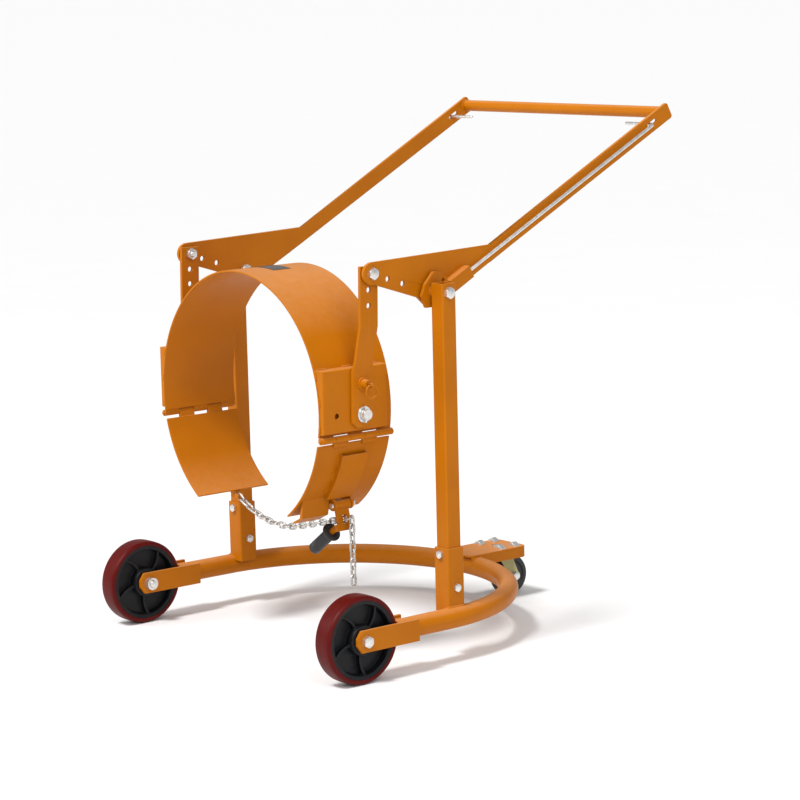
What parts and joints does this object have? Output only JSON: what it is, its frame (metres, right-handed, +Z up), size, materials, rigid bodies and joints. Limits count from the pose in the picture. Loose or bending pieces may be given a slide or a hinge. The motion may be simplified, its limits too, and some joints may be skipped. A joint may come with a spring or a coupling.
{
  "type": "drum dolly",
  "caption": "Lever-lift drum carrier: U-shaped tube base on wheels and a swivel caster, two posts, lift lever, and a tilting drum saddle with hinged wings and a chain tightener.",
  "frame": {"origin": "middle of the footprint on the floor, under the carrier", "axes": "+X across the carrier to the operator's left, +Y from the front axle towards the handle, +Z up"},
  "size_m": [0.928, 1.1459, 1.2221],
  "materials": {
    "orange_paint": "gloss powder coat",
    "zinc": "bright zinc plate",
    "chain_zinc": "electro-galvanised welded chain",
    "black_iron": "black enamel on cast iron",
    "red_tread": "satin cast polyurethane",
    "caster_rubber": "hard black rubber",
    "grip_rubber": "dipped black vinyl",
    "passivated_steel": "yellow-passivated pressing",
    "label_black": "blank dark sticker"
  },
  "bodies": {
    "base": {"base_tube": "orange_paint", "left_fork_plates": "orange_paint", "right_fork_plates": "orange_paint", "axle_bolts": "zinc", "left_post_socket": "orange_paint", "right_post_socket": "orange_paint", "left_post": "orange_paint", "right_post": "orange_paint", "socket_bolts": "zinc", "left_lock_sector": "orange_paint", "right_lock_sector": "orange_paint", "pivot_bolts": "zinc", "caster_bracket": "orange_paint", "caster_plate": "passivated_steel", "caster_bolts": "zinc"},
    "left_wheel": {"left_wheel_hub": "black_iron", "left_tyre": "red_tread", "left_wheel_bush": "zinc"},
    "right_wheel": {"right_wheel_hub": "black_iron", "right_tyre": "red_tread", "right_wheel_bush": "zinc"},
    "caster_swivel": {"caster_fork": "passivated_steel", "caster_kingpin": "zinc", "caster_axle": "zinc"},
    "caster_wheel": {"caster_tyre": "caster_rubber", "caster_bush": "zinc"},
    "lever": {"left_lever_plate": "orange_paint", "right_lever_plate": "orange_paint", "handle_tube": "orange_paint", "left_rod_guide": "orange_paint", "right_rod_guide": "orange_paint", "front_bolts": "zinc", "left_rod_spring": "zinc", "right_rod_spring": "zinc"},
    "left_rod": {"left_lock_rod": "zinc"},
    "right_rod": {"right_lock_rod": "zinc"},
    "hangers": {"left_link": "orange_paint", "right_link": "orange_paint", "lock_housing": "orange_paint"},
    "tilt_pin": {"tilt_lock_pin": "orange_paint"},
    "ring": {"pull_ring": "orange_paint"},
    "saddle": {"saddle_band": "orange_paint", "left_trunnion_box": "orange_paint", "right_trunnion_box": "orange_paint", "trunnion_pins": "zinc", "hinge_rods": "orange_paint", "rating_plate": "label_black"},
    "left_wing_body": {"left_wing": "orange_paint", "left_wing_rib": "orange_paint", "tightener_bracket": "orange_paint", "tightener_pin": "zinc"},
    "right_wing_body": {"right_wing": "orange_paint", "right_wing_rib": "orange_paint", "chain_anchor": "orange_paint"},
    "tightener": {"tightener_lever": "orange_paint", "tightener_grip": "grip_rubber"},
    "chain_near": {"chain_near_half": "chain_zinc"},
    "chain_far": {"chain_far_half": "chain_zinc"},
    "tail_top": {"chain_tail_top": "chain_zinc"},
    "tail": {"chain_tail": "chain_zinc"}
  },
  "joints": [
    {"name": "left_wheel_spin", "type": "hinge", "parent": "base", "child": "left_wheel", "pos_m": [0.418, -0.47304, 0.1], "axis": [1, 0, 0], "continuous": true},
    {"name": "right_wheel_spin", "type": "hinge", "parent": "base", "child": "right_wheel", "pos_m": [-0.418, -0.47304, 0.1], "axis": [1, 0, 0], "continuous": true},
    {"name": "caster_turn", "type": "hinge", "parent": "base", "child": "caster_swivel", "pos_m": [0, 0.31296, 0.1], "axis": [0, 0, 1], "continuous": true},
    {"name": "caster_wheel_spin", "type": "hinge", "parent": "caster_swivel", "child": "caster_wheel", "pos_m": [0, 0.34896, 0.05], "axis": [1, 0, 0], "continuous": true},
    {"name": "lever_lift", "type": "hinge", "parent": "base", "child": "lever", "pos_m": [0, -0.18264, 0.8395], "axis": [1, 0, 0], "range_deg": [0, 46]},
    {"name": "left_rod_pull", "type": "slide", "parent": "lever", "child": "left_rod", "axis": [0.0186, 0.8881, 0.4593], "range_m": [0, 0.016], "stiffness_N_per_m": 400, "springref_m": -0.02, "deforming": ["left_rod_spring"]},
    {"name": "right_rod_pull", "type": "slide", "parent": "lever", "child": "right_rod", "axis": [-0.0186, 0.8881, 0.4593], "range_m": [0, 0.016], "stiffness_N_per_m": 400, "springref_m": -0.02, "deforming": ["right_rod_spring"]},
    {"name": "hanger_swing", "type": "hinge", "parent": "lever", "child": "hangers", "pos_m": [0, -0.35084, 0.893], "axis": [1, 0, 0], "range_deg": [-60, 15]},
    {"name": "saddle_tilt", "type": "hinge", "parent": "hangers", "child": "saddle", "pos_m": [0, -0.35904, 0.577], "axis": [1, 0, 0], "range_deg": [-90, 20]},
    {"name": "tilt_pin_pull", "type": "slide", "parent": "hangers", "child": "tilt_pin", "axis": [1, 0, 0], "range_m": [0, 0.012], "stiffness_N_per_m": 600, "springref_m": -0.01},
    {"name": "pull_ring_swing", "type": "hinge", "parent": "tilt_pin", "child": "ring", "pos_m": [0.35, -0.35728, 0.64498], "axis": [0, 1, 0], "range_deg": [-80, 35]},
    {"name": "left_wing_open", "type": "hinge", "parent": "saddle", "child": "left_wing_body", "pos_m": [0.301, -0.36504, 0.525], "axis": [0, -1, 0], "range_deg": [0, 80]},
    {"name": "right_wing_open", "type": "hinge", "parent": "saddle", "child": "right_wing_body", "pos_m": [-0.301, -0.36504, 0.525], "axis": [0, 1, 0], "range_deg": [0, 80]},
    {"name": "tightener_swing", "type": "hinge", "parent": "left_wing_body", "child": "tightener", "pos_m": [0.225, -0.35404, 0.359], "axis": [0, -1, 0], "range_deg": [0, 75]},
    {"name": "chain_near_swing", "type": "hinge", "parent": "tightener", "child": "chain_near", "pos_m": [0.2318, -0.35404, 0.325], "axis": [0, -1, 0], "range_deg": [0, 2]},
    {"name": "chain_far_swing", "type": "hinge", "parent": "right_wing_body", "child": "chain_far", "pos_m": [-0.16418, -0.35404, 0.32677], "axis": [0, 1, 0], "range_deg": [0, 60]},
    {"name": "tail_top_swing", "type": "hinge", "parent": "chain_near", "child": "tail_top", "pos_m": [0.26305, -0.35404, 0.33232], "axis": [0, -1, 0], "range_deg": [-10, 55]},
    {"name": "tail_swing", "type": "hinge", "parent": "tail_top", "child": "tail", "pos_m": [0.26305, -0.35404, 0.31542], "axis": [1, 0, 0], "range_deg": [-15, 15]}
  ],
  "couplings": [
    {"joint": "hanger_swing", "follows": "lever_lift", "ratio": -1}
  ]
}
